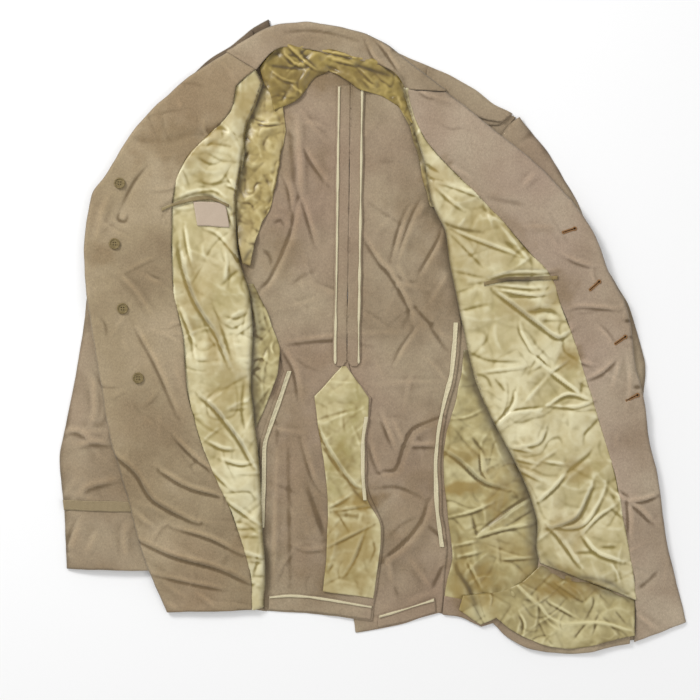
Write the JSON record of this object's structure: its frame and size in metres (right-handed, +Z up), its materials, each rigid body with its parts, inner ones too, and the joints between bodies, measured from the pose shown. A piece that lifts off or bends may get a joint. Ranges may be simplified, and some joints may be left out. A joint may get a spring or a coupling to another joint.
{
  "type": "officer jacket",
  "caption": "Tailored uniform jacket laid open on its back, inside up, with turned-under lapels, sleeves at its sides, part satin lining and a centre back vent.",
  "frame": {"origin": "middle of the jacket's outline, on the surface it lies on", "axes": "+Z up out of the surface, +Y from hem to collar, +X towards the wearer's left front"},
  "size_m": [0.855, 0.865, 0.0192],
  "materials": {
    "khaki_twill": "matt worsted twill",
    "dark_khaki": "matt twill, darker face",
    "satin": "glossy acetate satin",
    "yoke_satin": "glossy acetate satin, yellower",
    "tape": "satin binding tape",
    "braid": "ribbed mohair braid",
    "label": "woven label, bare",
    "button": "pressed olive tan plastic"
  },
  "bodies": {
    "root": {"back_right": "khaki_twill", "back_left": "khaki_twill", "side_body_right": "khaki_twill", "side_body_left": "khaki_twill", "allowance_center_right": "khaki_twill", "allowance_center_left": "khaki_twill", "hem_right": "khaki_twill", "hem_left": "khaki_twill", "shoulder_right": "khaki_twill", "shoulder_left": "khaki_twill", "collar_stand": "khaki_twill", "collar_leaf": "khaki_twill", "undersleeve_right": "khaki_twill", "topsleeve_right": "khaki_twill", "undersleeve_left": "khaki_twill", "topsleeve_left": "khaki_twill", "front_right": "khaki_twill", "facing_right": "khaki_twill", "front_left": "khaki_twill", "facing_left": "khaki_twill", "lapel_right": "khaki_twill", "lapel_left": "khaki_twill", "pocket_jet_right": "satin", "pocket_jet_left": "satin", "hem_front_left": "khaki_twill", "lining_lower_left": "satin", "strap_right": "dark_khaki", "strap_left": "dark_khaki", "vent_lining": "satin", "lining_side_right": "satin", "lining_side_left": "satin", "lining_front_right": "satin", "lining_front_left": "satin", "lining_yoke": "yoke_satin", "lining_armhole_right": "yoke_satin", "lining_armhole_left": "yoke_satin", "tape_center_right": "tape", "tape_center_left": "tape", "tape_side_right": "tape", "tape_side_left": "tape", "tape_vent": "tape", "tape_hem_right": "tape", "tape_hem_left": "tape", "cuff_braid_right": "braid", "cuff_braid_left": "braid", "label": "label", "stay_button_1": "button", "stay_button_2": "button", "stay_button_3": "button", "stay_button_4": "button", "outer_button_1": "button", "outer_button_2": "button", "outer_button_3": "button", "outer_button_4": "button"}
  },
  "joints": []
}
